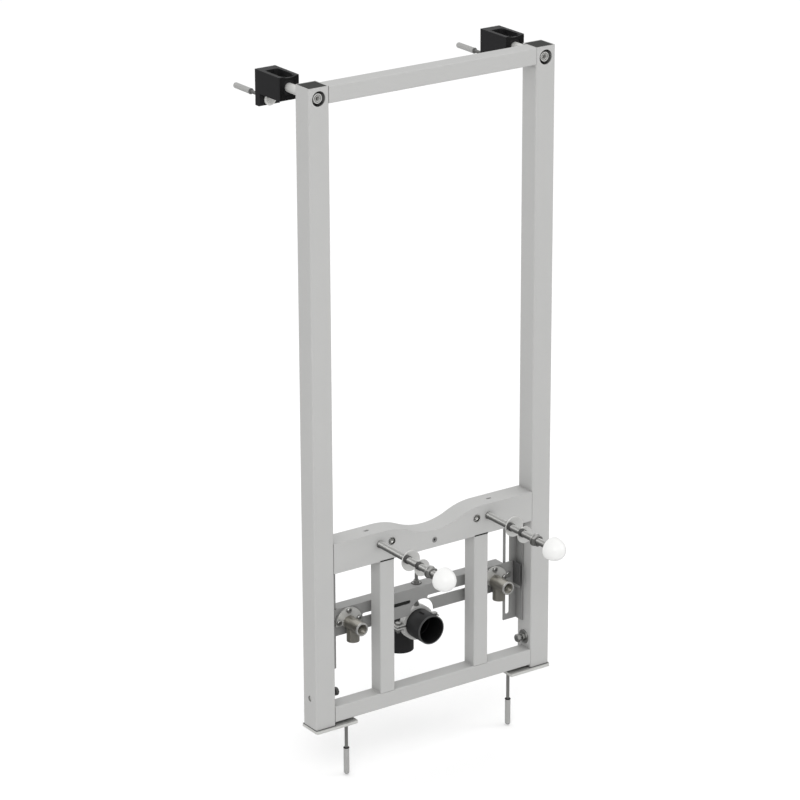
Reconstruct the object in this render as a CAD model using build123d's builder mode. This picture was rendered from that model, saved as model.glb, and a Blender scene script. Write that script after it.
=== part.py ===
from build123d import *
import os

os.makedirs("parts", exist_ok=True)

# Welded frame
frame_width = 500
frame_height = 1150
upright_size = 40
cross_size = 30
tube_wall = 2
corner_radius = 2.5
inner_corner_radius = 0.6
insert_thickness = 8
insert_gap = 0.1
insert_edge = 0.5
crossbar_lift = 6

# Feet
plate_thickness = 5
plate_length = 86
plate_depth = 48
plate_corner = 3
plate_overhang = 1
leg_clearance = 0.5
leg_length = 325
anchor_reach = 55
leg_bolt_height = 60
leg_bolt_hole = 5.2

# Support beam under the bidet
beam_bottom = 290
beam_height = 55
beam_wall = 2.5
dip_depth = 23
dip_half_width = 105
post_spacing = 200
fixing_rise = 33
wide_spacing = 230
narrow_spacing = 180
bush_radius = 6.75
bush_gap = 0.05
bush_lip = 1
center_hole_rise = 14
center_hole_radius = 2.5
beam_slot_spacing = 260
beam_slot_length = 10
beam_slot_width = 5

# Bidet fixing rods, with every reach measured out from the front of the beam
rod_radius = 6
rod_reach = 200
rod_inset = 30
rod_edge = 1
disc_thickness = 2.5
inner_disc_radius = 18.5
inner_disc_offset = 11.5
inner_disc_reach = {"left": 77, "right": 60}
inner_disc_turn = {"left": -32, "right": -17}
outer_disc_radius = 15
outer_disc_offset = 10.9
outer_disc_reach = {"left": 112, "right": 94}
outer_disc_turn = {"left": -38, "right": -39}
nut_flats = 19
nut_thickness = 8
nut_flange_radius = 11.5
nut_flange = 2
nut_reach = {"left": 148, "right": 136}
cap_reach = 214
cap_dome = 27.5
cap_rim = 1.5
cap_radius = 20.5

# Wall fixing
wall_distance = 161
rod_drop = 19
wall_rod_radius = 8
wall_rod_edge = 0.8
wall_rod_setback = 5
socket_flats = 8
socket_depth = 8
running_gap = 0.3
front_hole_radius = 13
bracket_height = 40
bracket_depth = 74
bracket_corner = 3
bracket_floor = 5
bracket_front_wall = 5
bracket_side_wall = 7
bracket_rear_wall = 19
pocket_corner = 2
front_dip = 2.5
front_dip_radius = 40
front_opening_width = 20
front_opening_height = 26
front_opening_corner = 4
tab_length = 22
tab_thickness = 13.5
wall_screw_drop = 51.5
wall_screw_head = 11
wall_screw_head_height = 2.5

# Anchors in floor and wall
anchor_shank = 3
anchor_gap = 0.1
anchor_radius = 5
anchor_tip = 10
plug_length = 50
plug_end = 8
plug_point = 4
floor_plug_depth = 54
floor_screw_head = 6.5
floor_screw_head_height = 3
wall_plug_depth = 45

# Slotted side angles
angle_thickness = 3
angle_width = 30
angle_depth = 22
angle_bottom = 91
slot_width = 9.5
slot_foot = 10
slot_head = 15

# Services rail
rail_bottom = 153
rail_height = 50
rail_depth = 24.5
rail_thickness = 2
rail_front = 19.5
rail_end_gap = 5
rail_flange_gap = 2
rail_tab_length = 16.5
rail_tab_notch = 2
notch_radius = 25.5
lower_flange_opening = 120
rail_slot_drop = 24
rail_slot_width = 6.8
rail_slot_elbow_gap = 30.3
rail_slot_start_left = 24
rail_slot_start_right = 12
rail_bolt_hole = 4.1

# Water elbows
elbow_inset = 53.7
water_rise = 22
outlet_radius = 12
outlet_reach = 44.5
outlet_thread = 18
thread_bore = 9.3
passage_bore = 7
elbow_plate = 3.5
elbow_plate_radius = 27
elbow_plate_drop = 4
elbow_plate_corner = 3
screw_side = 21
screw_up = 3
screw_top = 22
screw_hole = 2.4
inlet_radius = 11.3
inlet_thread = 14
inlet_set_back = 15.8
inlet_drop = 30.5

# Drain
drain_drop = 24
drain_front = -10
drain_socket_radius = 26.5
drain_socket_wall = 2.3
drain_socket_length = 52
drain_socket_stop = 12
drain_pipe_radius = 25
drain_wall = 3
drain_bend_radius = 46
drain_leg_length = 24
clamp_center = 36
clamp_width = 12
clamp_thickness = 5.5
clamp_ear_reach = 14
clamp_ear_overlap = 1
clamp_ear_thickness = 2.5
clamp_split = 3
stud_radius = 3
stud_rise = 25
stud_nut_radius = 5
stud_nut_thickness = 5
stud_washer_radius = 7.5
stud_washer_thickness = 1.2

half_pitch = (frame_width - upright_size) / 2
front = -upright_size / 2
back = upright_size / 2
inner_face = half_pitch - upright_size / 2
crossbar_bottom = plate_thickness + crossbar_lift
crossbar_top = crossbar_bottom + cross_size
fixing_height = beam_bottom + fixing_rise
leg_size = upright_size - 2 * tube_wall - 2 * leg_clearance
rod_height = frame_height - rod_drop
bracket_bottom = frame_height - bracket_height
wall_screw_height = frame_height - wall_screw_drop
wall_plane = front + wall_distance
bracket_front = wall_plane - bracket_depth
tab_front = wall_plane - tab_thickness
angle_front = rail_front + rail_thickness + running_gap
slot_offset = inner_face - (angle_width + angle_thickness + slot_width) / 2
rail_top = rail_bottom + rail_height
rail_slot_height = rail_top - rail_slot_drop
elbow_offset = inner_face - elbow_inset
rail_slot_end = elbow_offset - rail_slot_elbow_gap
water_height = rail_bottom + water_rise
drain_height = rail_bottom - drain_drop
sides = {"left": -1, "right": 1}


def facing_front(x, y, z):
    """A plane facing the front of the frame: its X is X and its Y is up."""
    return Plane((x, y, z), x_dir=(1, 0, 0), z_dir=(0, -1, 0))


def facing_side(x, y, z):
    """A plane facing right: its X runs to the back and its Y is up."""
    return Plane((x, y, z), x_dir=(0, 1, 0), z_dir=(1, 0, 0))


def facing_down(x, y, z):
    """A plane facing the floor: its X is X."""
    return Plane((x, y, z), x_dir=(1, 0, 0), z_dir=(0, 0, -1))


def save(piece, name):
    piece.part.label = name
    export_step(piece.part, f"parts/{name}.step")


def tube_section(size):
    """Sketch of a square tube with rounded corners."""
    bore = size - 2 * tube_wall
    RectangleRounded(size, size, corner_radius)
    RectangleRounded(bore, bore, inner_corner_radius, mode=Mode.SUBTRACT)


def square_tube(plane, size, length):
    with BuildPart() as tube:
        with BuildSketch(plane):
            tube_section(size)
        extrude(amount=length)
    return tube


def drill(plane, radius, depth):
    """Cut a round hole centred on the plane's origin, along its normal."""
    with Locations(plane):
        Hole(radius, depth)


def turned(plane, steps):
    """A pin along the plane's normal, made of (radius, start, end) steps."""
    with BuildPart() as pin:
        for radius, start, end in steps:
            with BuildSketch(plane.offset(start)):
                Circle(radius)
            extrude(amount=end - start)
    return pin


def anchor_plug(plane):
    """A plug with a rounded point, hollow for its screw."""
    with BuildPart() as plug:
        with BuildSketch(plane):
            Circle(anchor_radius)
        extrude(amount=plug_length)
        point = plug.faces().sort_by(Axis(plane.origin, plane.z_dir))[-1]
        fillet(point.edges(), plug_point)
        with BuildSketch(plane):
            Circle(anchor_shank + anchor_gap)
        extrude(amount=plug_length - plug_end, mode=Mode.SUBTRACT)
    return plug


def upright(side):
    """A square upright with the holes of the wall rod and of the leg bolt."""
    x = half_pitch + side * half_pitch
    with BuildPart() as post:
        with BuildSketch(Plane((x, 0, plate_thickness))):
            tube_section(upright_size)
        extrude(amount=frame_height - plate_thickness)
        drill(facing_front(x, front, rod_height), front_hole_radius, tube_wall)
        drill(facing_front(x, back, rod_height), wall_rod_radius + running_gap, tube_wall)
        drill(facing_side(x, 0, leg_bolt_height), leg_bolt_hole, upright_size)
    return post


def upright_insert(side):
    """The plastic insert that closes the top of an upright."""
    x = half_pitch + side * half_pitch
    plug_size = upright_size - 2 * tube_wall - 2 * insert_gap
    with BuildPart() as insert:
        with BuildSketch(Plane((x, 0, frame_height - insert_thickness))):
            RectangleRounded(plug_size, plug_size, inner_corner_radius)
        extrude(amount=insert_thickness)
        chamfer(insert.faces().sort_by(Axis.Z)[-1].edges(), insert_edge)
    return insert


def foot(side):
    """The floor plate with the inner leg that the upright slides on."""
    x = half_pitch + side * half_pitch
    plate_x = x + side * (upright_size / 2 + plate_overhang - plate_length / 2)
    anchor_x = x - side * anchor_reach
    with BuildPart() as base:
        with BuildSketch(Plane((plate_x, 0, 0))):
            RectangleRounded(plate_length, plate_depth, plate_corner)
        extrude(amount=plate_thickness)
        with BuildSketch(Plane((x, 0, plate_thickness))):
            tube_section(leg_size)
        extrude(amount=leg_length)
        drill(Plane((anchor_x, 0, plate_thickness)), anchor_shank + running_gap, plate_thickness)
    return base


def support_beam():
    """A hollow beam, level at the ends, its top sweeping down to the middle in two tangent arcs."""
    top = beam_bottom + beam_height
    with BuildPart() as beam:
        with BuildSketch(facing_front(half_pitch, back, 0)):
            with BuildLine():
                level = Line((-inner_face, top), (-dip_half_width, top))
                crest = TangentArc(level @ 1, (-dip_half_width / 2, top - dip_depth / 2), tangent=(1, 0))
                TangentArc(crest @ 1, (0, top - dip_depth), tangent=crest % 1)
                mirror(about=Plane.YZ)
                Polyline(
                    (-inner_face, top),
                    (-inner_face, beam_bottom),
                    (inner_face, beam_bottom),
                    (inner_face, top),
                )
            make_face()
        extrude(amount=upright_size)
        ends = beam.faces().sort_by(Axis.X)
        offset(amount=-beam_wall, openings=[ends[0], ends[-1]])
        for spacing in (wide_spacing, narrow_spacing):
            for side in sides.values():
                x = half_pitch + side * spacing / 2
                drill(facing_front(x, front, fixing_height), bush_radius + bush_gap, beam_wall)
        center_hole = facing_front(half_pitch, front, beam_bottom + center_hole_rise)
        drill(center_hole, center_hole_radius, beam_wall)
        with BuildSketch(Plane((half_pitch, 0, top))):
            with GridLocations(beam_slot_spacing, 1, 2, 1):
                SlotOverall(beam_slot_length, beam_slot_width)
        extrude(amount=-beam_wall, mode=Mode.SUBTRACT)
    return beam


def bush(x):
    """A threaded bush set through the front wall of the beam, up to its back wall."""
    with BuildPart() as sleeve:
        with BuildSketch(facing_front(half_pitch + x, back - beam_wall, fixing_height)):
            Circle(bush_radius)
            Circle(rod_radius, mode=Mode.SUBTRACT)
        extrude(amount=upright_size - beam_wall + bush_lip)
    return sleeve


def fixing_rod(side):
    x = half_pitch + side * wide_spacing / 2
    with BuildPart() as rod:
        with BuildSketch(facing_front(x, front + rod_inset, fixing_height)):
            Circle(rod_radius)
        extrude(amount=rod_inset + rod_reach)
        chamfer(rod.faces().sort_by(Axis.Y)[0].edges(), rod_edge)
    return rod


def disc(side, reach, radius, center_offset, turn):
    """A disc that hangs on the rod by a hole or an open notch close to its rim."""
    x = half_pitch + side * wide_spacing / 2
    with BuildPart() as washer:
        with BuildSketch(facing_front(x, front - reach, fixing_height)):
            with PolarLocations(center_offset, 1, start_angle=turn):
                Circle(radius)
            Circle(rod_radius, mode=Mode.SUBTRACT)
        extrude(amount=disc_thickness)
    return washer


def rod_nut(side, reach):
    """A hexagon nut with a round flange on its back."""
    plane = facing_front(half_pitch + side * wide_spacing / 2, front - reach, fixing_height)
    with BuildPart() as nut:
        with BuildSketch(plane):
            Circle(nut_flange_radius)
        extrude(amount=nut_flange)
        with BuildSketch(plane.offset(nut_flange)):
            RegularPolygon(nut_flats / 2, 6, major_radius=False)
        extrude(amount=nut_thickness)
        with BuildSketch(plane):
            Circle(rod_radius)
        extrude(amount=nut_flange + nut_thickness, mode=Mode.SUBTRACT)
    return nut


def rod_cap(side):
    """A domed cap over the rod's end, its round tip to the front."""
    x = half_pitch + side * wide_spacing / 2
    cap_back = front - cap_reach + cap_dome + cap_rim
    dome_start = Plane((x, cap_back - cap_rim, fixing_height), x_dir=(0, -1, 0), z_dir=(0, 0, 1))
    with BuildPart() as cap:
        with BuildSketch(dome_start):
            with BuildLine():
                EllipticalCenterArc((0, 0), cap_dome, cap_radius)
                Polyline((0, cap_radius), (-cap_rim, cap_radius), (-cap_rim, 0), (cap_dome, 0))
            make_face()
        revolve(axis=Axis((x, 0, fixing_height), (0, 1, 0)))
        with BuildSketch(facing_front(x, cap_back, fixing_height)):
            Circle(rod_radius)
        extrude(amount=cap_back - front + rod_reach, mode=Mode.SUBTRACT)
    return cap


def wall_bracket(side):
    """The bracket block: a pocket open at the top and round the rod, and a tab for the wall screw."""
    x = half_pitch + side * half_pitch
    pocket_width = upright_size - 2 * bracket_side_wall
    pocket_depth = bracket_depth - bracket_front_wall - bracket_rear_wall
    pocket_middle = bracket_front + bracket_front_wall + pocket_depth / 2
    with BuildPart() as block:
        with BuildSketch(facing_side(x - upright_size / 2, 0, 0)):
            with BuildLine():
                Polyline(
                    (bracket_front, bracket_bottom),
                    (bracket_front, frame_height),
                    (wall_plane, frame_height),
                    (wall_plane, bracket_bottom - tab_length),
                    (tab_front, bracket_bottom - tab_length),
                    (tab_front, bracket_bottom),
                    close=True,
                )
            make_face()
        extrude(amount=upright_size)
        fillet(block.edges().filter_by(Axis.Z).group_by(Axis.Y)[0], bracket_corner)
        tab_edges = block.edges().filter_by(Axis.X).group_by(Axis.Z)[0]
        fillet(tab_edges.sort_by(Axis.Y)[0], bracket_corner)
        with BuildSketch(Plane((x, pocket_middle, frame_height))):
            RectangleRounded(pocket_width, pocket_depth, pocket_corner)
        extrude(amount=bracket_floor - bracket_height, mode=Mode.SUBTRACT)
        with BuildSketch(facing_front(x, bracket_front, rod_height)):
            RectangleRounded(front_opening_width, front_opening_height, front_opening_corner)
        extrude(amount=-bracket_front_wall, mode=Mode.SUBTRACT)
        dip_height = frame_height + front_dip_radius - front_dip
        drill(facing_front(x, bracket_front, dip_height), front_dip_radius, bracket_front_wall)
        drill(facing_front(x, tab_front, wall_screw_height), anchor_shank + running_gap, tab_thickness)
    return block


def wall_rod(side):
    """The smooth rod that ties bracket and upright, with a hex socket in its front end."""
    x = half_pitch + side * half_pitch
    rod_front = front + wall_rod_setback
    rod_back = wall_plane - bracket_rear_wall
    with BuildPart() as rod:
        with BuildSketch(facing_front(x, rod_back, rod_height)):
            Circle(wall_rod_radius)
        extrude(amount=rod_back - rod_front)
        chamfer(rod.faces().sort_by(Axis.Y)[0].edges(), wall_rod_edge)
        with BuildSketch(facing_front(x, rod_front, rod_height)):
            RegularPolygon(socket_flats / 2, 6, major_radius=False)
        extrude(amount=-socket_depth, mode=Mode.SUBTRACT)
    return rod


def side_angle(side):
    """The slotted angle welded behind an upright's inner edge."""
    inner_x = half_pitch + side * inner_face
    angle_back = angle_front + angle_thickness
    height = beam_bottom - angle_bottom
    slot_length = height - slot_foot - slot_head
    slot_middle = angle_bottom + slot_foot + slot_length / 2
    with BuildPart() as angle:
        for width, depth in ((angle_width, angle_thickness), (angle_thickness, angle_depth)):
            with BuildSketch(Plane((inner_x - side * width / 2, angle_back - depth / 2, angle_bottom))):
                Rectangle(width, depth)
            extrude(amount=height)
        with BuildSketch(facing_front(half_pitch + side * slot_offset, angle_front, slot_middle)):
            SlotOverall(slot_length, slot_width, rotation=90)
        extrude(amount=-angle_thickness, mode=Mode.SUBTRACT)
    return angle


def services_rail():
    """A channel facing back: its web runs in front of both angles, its flanges fit between them."""
    web_half = inner_face - angle_thickness - rail_end_gap
    flange_half = inner_face - angle_width - rail_flange_gap
    flange_depth = rail_depth - rail_thickness
    flange_y = rail_front + rail_thickness + flange_depth / 2
    rail_middle = rail_bottom + rail_height / 2
    with BuildPart() as rail:
        with BuildSketch(facing_front(half_pitch, rail_front, 0)):
            with Locations((0, rail_middle)):
                Rectangle(2 * web_half, rail_height)
            with Locations((0, rail_bottom)):
                Circle(notch_radius, mode=Mode.SUBTRACT)
            for side, start in ((-1, rail_slot_start_left), (1, rail_slot_start_right)):
                with Locations((side * (start + rail_slot_end) / 2, rail_slot_height)):
                    SlotOverall(rail_slot_end - start, rail_slot_width, mode=Mode.SUBTRACT)
            with Locations((-slot_offset, rail_slot_height), (slot_offset, rail_slot_height)):
                Circle(rail_bolt_hole, mode=Mode.SUBTRACT)
        extrude(amount=-rail_thickness)
        with BuildSketch(Plane((half_pitch, flange_y, rail_top - rail_thickness))):
            Rectangle(2 * flange_half, flange_depth)
        extrude(amount=rail_thickness)
        with BuildSketch(Plane((half_pitch, flange_y, rail_bottom))):
            Rectangle(2 * flange_half, flange_depth)
            Rectangle(lower_flange_opening, flange_depth, mode=Mode.SUBTRACT)
        extrude(amount=rail_thickness)
        for side in sides.values():
            tab_x = half_pitch + side * (web_half - rail_thickness / 2)
            with BuildSketch(facing_front(tab_x, rail_front, rail_middle)):
                Rectangle(rail_thickness, rail_height - 2 * rail_tab_notch)
            extrude(amount=rail_tab_length)
        drill(Plane((half_pitch, clamp_center, rail_top)), stud_radius, rail_thickness)
    return rail


def water_elbow(side):
    """A wall elbow: outlet to the front, inlet below, on a half-round plate with three screw holes."""
    x = half_pitch + side * elbow_offset
    outlet_front = rail_front - outlet_reach
    inlet_y = rail_front - inlet_set_back
    inlet_bottom = water_height - inlet_drop
    with BuildPart() as elbow:
        with BuildSketch(facing_front(x, rail_front, water_height)) as plate:
            Circle(elbow_plate_radius)
            with Locations((0, -elbow_plate_drop - elbow_plate_radius)):
                Rectangle(2 * elbow_plate_radius, 2 * elbow_plate_radius, mode=Mode.SUBTRACT)
            fillet(plate.vertices().group_by(Axis.Y)[0], elbow_plate_corner)
            with Locations((-screw_side, screw_up), (screw_side, screw_up), (0, screw_top)):
                Circle(screw_hole, mode=Mode.SUBTRACT)
        extrude(amount=elbow_plate)
        with BuildSketch(facing_front(x, rail_front, water_height)):
            Circle(outlet_radius)
        extrude(amount=outlet_reach)
        with BuildSketch(facing_down(x, inlet_y, water_height)):
            Circle(inlet_radius)
        extrude(amount=inlet_drop)
        drill(facing_front(x, outlet_front, water_height), thread_bore, outlet_thread)
        drill(facing_front(x, outlet_front, water_height), passage_bore, outlet_reach - inlet_set_back)
        drill(facing_down(x, inlet_y, inlet_bottom), thread_bore, inlet_thread)
        drill(facing_down(x, inlet_y, inlet_bottom), passage_bore, inlet_drop)
    return elbow


def drain_bend():
    """A drain bend: a socket to the front, a quarter turn and a short leg down."""
    bend_start = drain_front + drain_socket_length
    bend_bottom = drain_height - drain_bend_radius
    bore = drain_pipe_radius - drain_wall
    with BuildPart() as bend:
        with BuildSketch(facing_front(half_pitch, bend_start, drain_height)):
            Circle(drain_socket_radius)
            Circle(bore, mode=Mode.SUBTRACT)
        extrude(amount=drain_socket_length)
        with BuildSketch(facing_front(half_pitch, drain_front, drain_height)):
            Circle(drain_socket_radius - drain_socket_wall)
        extrude(amount=drain_socket_stop - drain_socket_length, mode=Mode.SUBTRACT)
        with BuildSketch(facing_front(half_pitch, bend_start, drain_height)):
            Circle(drain_pipe_radius)
            Circle(bore, mode=Mode.SUBTRACT)
        revolve(axis=Axis((half_pitch, bend_start, bend_bottom), (1, 0, 0)), revolution_arc=-90)
        with BuildSketch(facing_down(half_pitch, bend_start + drain_bend_radius, bend_bottom)):
            Circle(drain_pipe_radius)
            Circle(bore, mode=Mode.SUBTRACT)
        extrude(amount=drain_leg_length)
    return bend


def drain_clamp():
    """A split pipe clamp with screw ears, hung from the rail by a stud."""
    band_outer = drain_socket_radius + clamp_thickness
    ear_middle = band_outer + clamp_ear_reach / 2 - clamp_ear_overlap
    with BuildPart() as clamp:
        with BuildSketch(facing_front(half_pitch, clamp_center + clamp_width / 2, drain_height)):
            Circle(band_outer)
            with Locations((-ear_middle, 0), (ear_middle, 0)):
                Rectangle(clamp_ear_reach, clamp_split + 2 * clamp_ear_thickness)
            Circle(drain_socket_radius, mode=Mode.SUBTRACT)
            Rectangle(2 * (band_outer + clamp_ear_reach), clamp_split, mode=Mode.SUBTRACT)
        extrude(amount=clamp_width)
    return clamp


def drain_stud():
    """The stud from the clamp through the rail's top flange, with its nut and washer."""
    start = drain_height + drain_socket_radius + clamp_thickness
    washer_top = rail_top + stud_washer_thickness
    return turned(
        Plane((half_pitch, clamp_center, 0)),
        [
            (stud_radius, start, rail_top + stud_rise),
            (stud_nut_radius, start, start + stud_nut_thickness),
            (stud_washer_radius, rail_top, washer_top),
            (stud_nut_radius, washer_top, washer_top + stud_nut_thickness),
        ],
    )


def anchor_screw(plane, seat, head_radius, head_height, plug_depth):
    """A screw whose head sits at the seat above the plane and whose shank ends in its plug."""
    return turned(
        plane,
        [
            (head_radius, -seat - head_height, -seat),
            (anchor_shank, -seat, plug_depth + plug_length - anchor_tip),
        ],
    )


for name, side in sides.items():
    x = half_pitch + side * half_pitch
    save(upright(side), f"{name}_upright")
    save(upright_insert(side), f"{name}_upright_insert")
    save(foot(side), f"{name}_foot")
    floor = facing_down(x - side * anchor_reach, 0, 0)
    floor_screw = anchor_screw(
        floor, plate_thickness, floor_screw_head, floor_screw_head_height, floor_plug_depth
    )
    save(floor_screw, f"{name}_floor_screw")
    save(anchor_plug(floor.offset(floor_plug_depth)), f"{name}_floor_plug")

    save(wall_bracket(side), f"{name}_wall_bracket")
    save(wall_rod(side), f"{name}_wall_rod")
    wall = Plane((x, wall_plane, wall_screw_height), x_dir=(1, 0, 0), z_dir=(0, 1, 0))
    wall_screw = anchor_screw(
        wall, tab_thickness, wall_screw_head, wall_screw_head_height, wall_plug_depth
    )
    save(wall_screw, f"{name}_wall_screw")
    save(anchor_plug(wall.offset(wall_plug_depth)), f"{name}_wall_plug")

    post_base = Plane((half_pitch + side * post_spacing / 2, front + cross_size / 2, crossbar_top))
    save(square_tube(post_base, cross_size, beam_bottom - crossbar_top), f"{name}_post")
    save(side_angle(side), f"{name}_side_angle")
    save(bush(side * narrow_spacing / 2), f"{name}_narrow_bush")
    save(bush(side * wide_spacing / 2), f"{name}_wide_bush")

    save(fixing_rod(side), f"{name}_fixing_rod")
    inner_disc = disc(
        side, inner_disc_reach[name], inner_disc_radius, inner_disc_offset, inner_disc_turn[name]
    )
    save(inner_disc, f"{name}_inner_disc")
    outer_disc = disc(
        side, outer_disc_reach[name], outer_disc_radius, outer_disc_offset, outer_disc_turn[name]
    )
    save(outer_disc, f"{name}_outer_disc")
    save(rod_nut(side, nut_reach[name]), f"{name}_fixing_nut")
    save(rod_cap(side), f"{name}_rod_cap")

    save(water_elbow(side), f"{name}_water_elbow")

bar_x = half_pitch - inner_face
bar_y = front + cross_size / 2
for name, bottom in (("bottom_crossbar", crossbar_bottom), ("top_crossbar", frame_height - cross_size)):
    bar_start = facing_side(bar_x, bar_y, bottom + cross_size / 2)
    save(square_tube(bar_start, cross_size, 2 * inner_face), name)

save(support_beam(), "support_beam")
save(services_rail(), "services_rail")
save(drain_bend(), "drain_bend")
save(drain_clamp(), "drain_clamp")
save(drain_stud(), "drain_stud")
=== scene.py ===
import math

import bmesh
import bpy
from bmesh.types import BMEdge, BMVert
from bpy.props import FloatProperty, FloatVectorProperty, PointerProperty
from bpy.types import NodeSocket, Operator, Panel, PropertyGroup
from mathutils import Matrix, Vector


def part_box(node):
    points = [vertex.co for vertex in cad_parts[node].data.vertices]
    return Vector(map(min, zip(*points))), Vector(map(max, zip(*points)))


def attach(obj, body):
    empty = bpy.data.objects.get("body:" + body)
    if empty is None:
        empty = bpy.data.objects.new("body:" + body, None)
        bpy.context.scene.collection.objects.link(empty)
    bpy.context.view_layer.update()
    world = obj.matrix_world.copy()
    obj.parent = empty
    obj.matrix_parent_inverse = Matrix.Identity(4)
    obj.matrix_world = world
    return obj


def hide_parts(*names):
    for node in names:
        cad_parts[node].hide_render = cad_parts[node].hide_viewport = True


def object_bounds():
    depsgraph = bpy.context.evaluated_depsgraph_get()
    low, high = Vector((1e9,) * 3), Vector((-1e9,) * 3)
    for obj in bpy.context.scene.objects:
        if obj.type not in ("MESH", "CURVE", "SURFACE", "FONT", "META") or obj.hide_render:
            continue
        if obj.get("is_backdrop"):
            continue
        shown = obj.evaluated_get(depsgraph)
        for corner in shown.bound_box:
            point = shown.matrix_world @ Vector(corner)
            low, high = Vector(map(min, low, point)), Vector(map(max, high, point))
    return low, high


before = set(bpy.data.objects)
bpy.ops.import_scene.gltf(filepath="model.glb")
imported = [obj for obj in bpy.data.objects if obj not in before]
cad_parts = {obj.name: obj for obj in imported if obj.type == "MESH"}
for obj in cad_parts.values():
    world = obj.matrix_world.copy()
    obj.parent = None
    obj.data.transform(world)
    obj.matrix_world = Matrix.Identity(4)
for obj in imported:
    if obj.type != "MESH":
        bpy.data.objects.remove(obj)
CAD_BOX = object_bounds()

bl_info = {
    "name": "Bidet installation frame",
    "version": (1, 0, 0),
    "blender": (4, 5, 0),
    "location": "3D View > Sidebar > Bidet Frame",
    "description": "Finishes and fastenings of a bidet installation frame",
    "category": "Object",
}

MM = 0.001
TURN = 2 * math.pi
SIDES = ("left", "right")
INWARDS = {"left": 1, "right": -1}
CLOSE = 1e-6
SHARP_ANGLE = math.radians(32)

FRONTWARDS = Matrix.Rotation(math.radians(90), 4, "X")
BACKWARDS = Matrix.Rotation(math.radians(-90), 4, "X")
DOWNWARDS = Matrix.Rotation(math.radians(180), 4, "X")
RIGHTWARDS = Matrix.Rotation(math.radians(90), 4, "Y")
LEFTWARDS = Matrix.Rotation(math.radians(-90), 4, "Y")
UPWARDS = Matrix.Identity(4)


# Settings


def colour(name, description, default):
    return FloatVectorProperty(
        name=name, description=description, subtype="COLOR", size=3, min=0, max=1, default=default
    )


def length(name, description, millimetres):
    return FloatProperty(
        name=name,
        description=description,
        default=millimetres * MM,
        min=0,
        unit="LENGTH",
        subtype="DISTANCE",
        precision=5,
    )


def number(name, description, default, **kind):
    return FloatProperty(name=name, description=description, default=default, **kind)


class FinishSettings(PropertyGroup):
    """Colours of the frame's paints, metals and plastics."""

    paint: colour("Paint", "Powder coat of the welded frame", (0.45, 0.45, 0.443))
    paint_wear: colour("Paint edges", "Powder coat where the edges are rubbed", (0.55, 0.55, 0.54))
    galvanised: colour("Galvanised steel", "Rail and side angles", (0.33, 0.33, 0.325))
    zinc: colour("Zinc", "Bright zinc plating of bushes and screws", (0.62, 0.62, 0.60))
    satin_zinc: colour("Satin zinc", "Plating of discs, clamp and wall rods", (0.62, 0.62, 0.605))
    rolled_zinc: colour("Rolled zinc", "Plating on rolled threads and nuts", (0.38, 0.38, 0.37))
    # Besides black plating, this colour is painted shade on the rod rings, the stud's washer and
    # the left leg bolt.
    dark_zinc_and_shade: colour("Dark zinc", "Black plated bolts and rings", (0.07, 0.07, 0.068))
    nickel: colour("Nickel", "Nickel plated brass of the water elbows", (0.39, 0.375, 0.335))
    # On the elbows' plates this colour is partly a painted highlight.
    machined: colour("Machined nickel", "Plates and mouths of the elbows", (0.54, 0.54, 0.525))
    black: colour("Black plastic", "Wall brackets and drain bend", (0.016, 0.016, 0.017))
    # The post seams and the slot strip are painted shade; the inserts are dark plastic.
    insert: colour("Insert plastic", "Inserts, post seams and slot strip", (0.022, 0.023, 0.021))
    # The pads and the dark rings at the uprights' feet are painted shade; the drain's lip is grey
    # plastic.
    pad: colour("Pad plastic", "Pads, guide rings and the drain's lip", (0.08, 0.08, 0.08))
    collar: colour("Collar plastic", "Wall plug collars and the vent grommet", (0.19, 0.19, 0.187))
    white: colour("White plastic", "Protection caps of the rods", (0.80, 0.80, 0.79))
    nylon: colour("Nylon", "Plugs for floor and wall", (0.355, 0.355, 0.348))
    rubber: colour("Rubber", "Drain seal and mark, floor plug collars", (0.006, 0.006, 0.006))


class FasteningSettings(PropertyGroup):
    """Sizes of the bolts, nuts, screws and threads."""

    leg_bolt_flats: length("Leg bolt flats", "Hexagon of the bolt that clamps a leg", 13)
    leg_bolt_height: length("Leg bolt height", "Height of the leg bolts over the floor", 60)
    rail_bolt_height: length("Rail bolt height", "Height of the bolts of the services rail", 179)
    rail_bolt_inset: length("Rail bolt inset", "From an upright's inner face to the bolt", 21.25)
    ring_radius: length("Ring radius", "Outer radius of the rings on the rods", 7.2)
    rod_pitch: length("Rod pitch", "Thread pitch of the bidet fixing rods", 1.75)
    rod_thread_depth: length("Rod thread depth", "Thread depth of the bidet fixing rods", 0.9)
    water_pitch: length("Water pitch", "Thread pitch of the water elbows", 1.814)
    ear_screw_radius: length("Elbow screw radius", "Head radius of an elbow's screws", 4.9)
    clamp_bolt_flats: length("Clamp bolt flats", "Hexagon of the drain clamp's bolts", 10)
    weld_radius: length("Weld radius", "Half width of a weld bead", 1.6)


class StudioSettings(PropertyGroup):
    """Camera, floor and light."""

    camera_place: FloatVectorProperty(
        name="Camera place",
        description="Where the camera stands",
        subtype="XYZ",
        unit="LENGTH",
        size=3,
        default=(-3.07513, -4.70041, 2.67115),
    )
    camera_yaw: number("Camera yaw", "Turn to the right", 0.6044926, subtype="ANGLE")
    camera_pitch: number("Camera pitch", "Tilt above the horizon", -0.3526450, subtype="ANGLE")
    camera_roll: number("Camera roll", "Roll of the camera", -0.0037163, subtype="ANGLE")
    lens: number("Lens", "Focal length in millimetres", 160.608, subtype="DISTANCE_CAMERA")
    floor_colour: colour("Floor", "Colour of the floor", (0.98, 0.98, 0.98))
    floor_half: number("Floor reach", "Half the floor's width", 30, unit="LENGTH")
    floor_gap: length("Floor gap", "Gap between the lowest plug and the floor", 2)
    sky: number("Sky", "Strength of the light from all round", 0.92)
    key: number("Key", "Power of the large front light in watts", 45)
    rim: number("Rim", "Power of the right light in watts", 20)


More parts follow.
